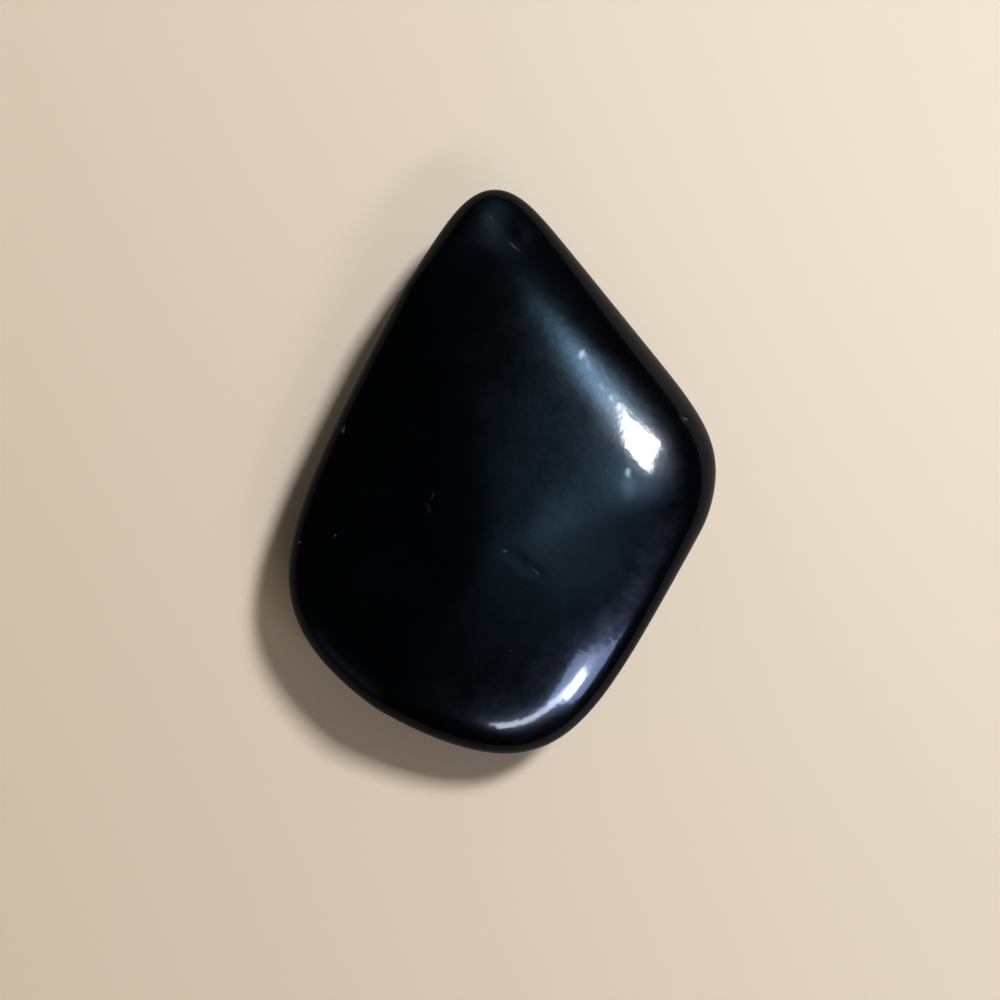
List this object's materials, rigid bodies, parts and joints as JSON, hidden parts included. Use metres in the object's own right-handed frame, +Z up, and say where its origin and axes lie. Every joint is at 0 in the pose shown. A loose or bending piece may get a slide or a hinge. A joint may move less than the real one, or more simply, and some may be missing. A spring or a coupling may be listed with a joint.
{
  "type": "tumbled black agate",
  "caption": "Flat, kite-shaped tumbled stone, black and highly polished all over, with softly rounded edges; lies loose on any level surface.",
  "frame": {"origin": "on the resting plane, under the centre of the bounding box", "axes": "+Z up through the crown, +Y along the length from the foot to the tip, +X towards the right corner"},
  "size_m": [0.0184, 0.0248, 0.0059],
  "materials": {
    "polished_black_agate": "opaque black chalcedony, tumble-polished to a glassy gloss with a faint waviness"
  },
  "bodies": {
    "root": {"black_agate": "polished_black_agate"}
  },
  "joints": []
}
